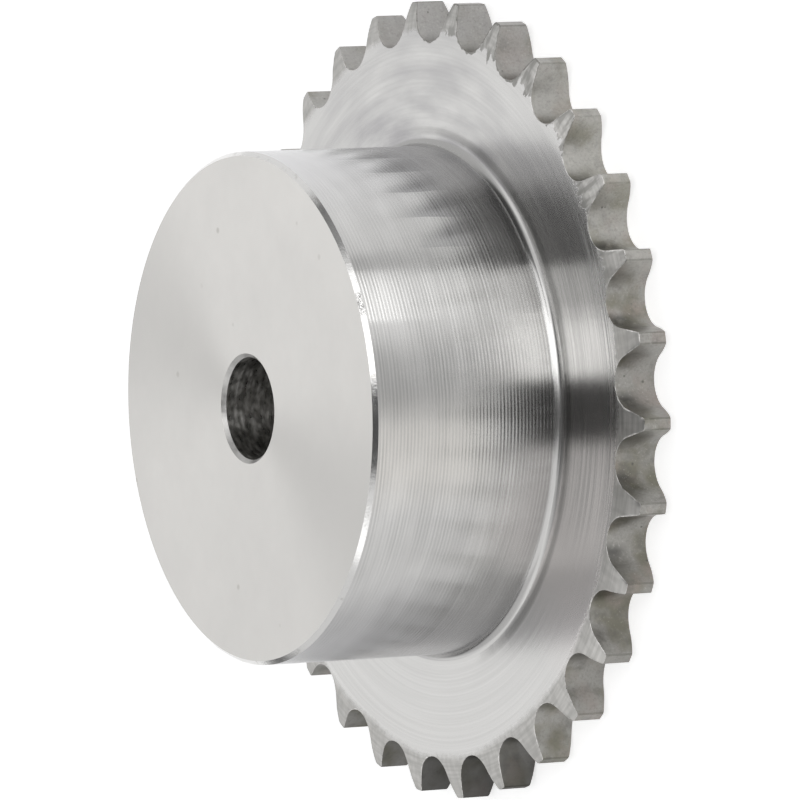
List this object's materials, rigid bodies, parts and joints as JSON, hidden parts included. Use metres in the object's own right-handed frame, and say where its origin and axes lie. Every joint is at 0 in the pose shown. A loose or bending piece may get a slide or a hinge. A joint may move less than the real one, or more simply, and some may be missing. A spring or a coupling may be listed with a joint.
{
  "type": "chain sprocket",
  "caption": "Plate-wheel sprocket for a simple roller chain, with relieved teeth, a hub on one side and a plain pilot bore.",
  "frame": {"origin": "centre of the plate's flat back face, on the bore's axis", "axes": "+Z along the bore from the plate's back face to the hub's end; +X through the middle of a tooth gap"},
  "size_m": [0.0938, 0.0942, 0.03],
  "materials": {
    "turned_steel": "bare steel, finely turned, with a satin sheen"
  },
  "bodies": {
    "root": {"sprocket": "turned_steel"}
  },
  "joints": []
}
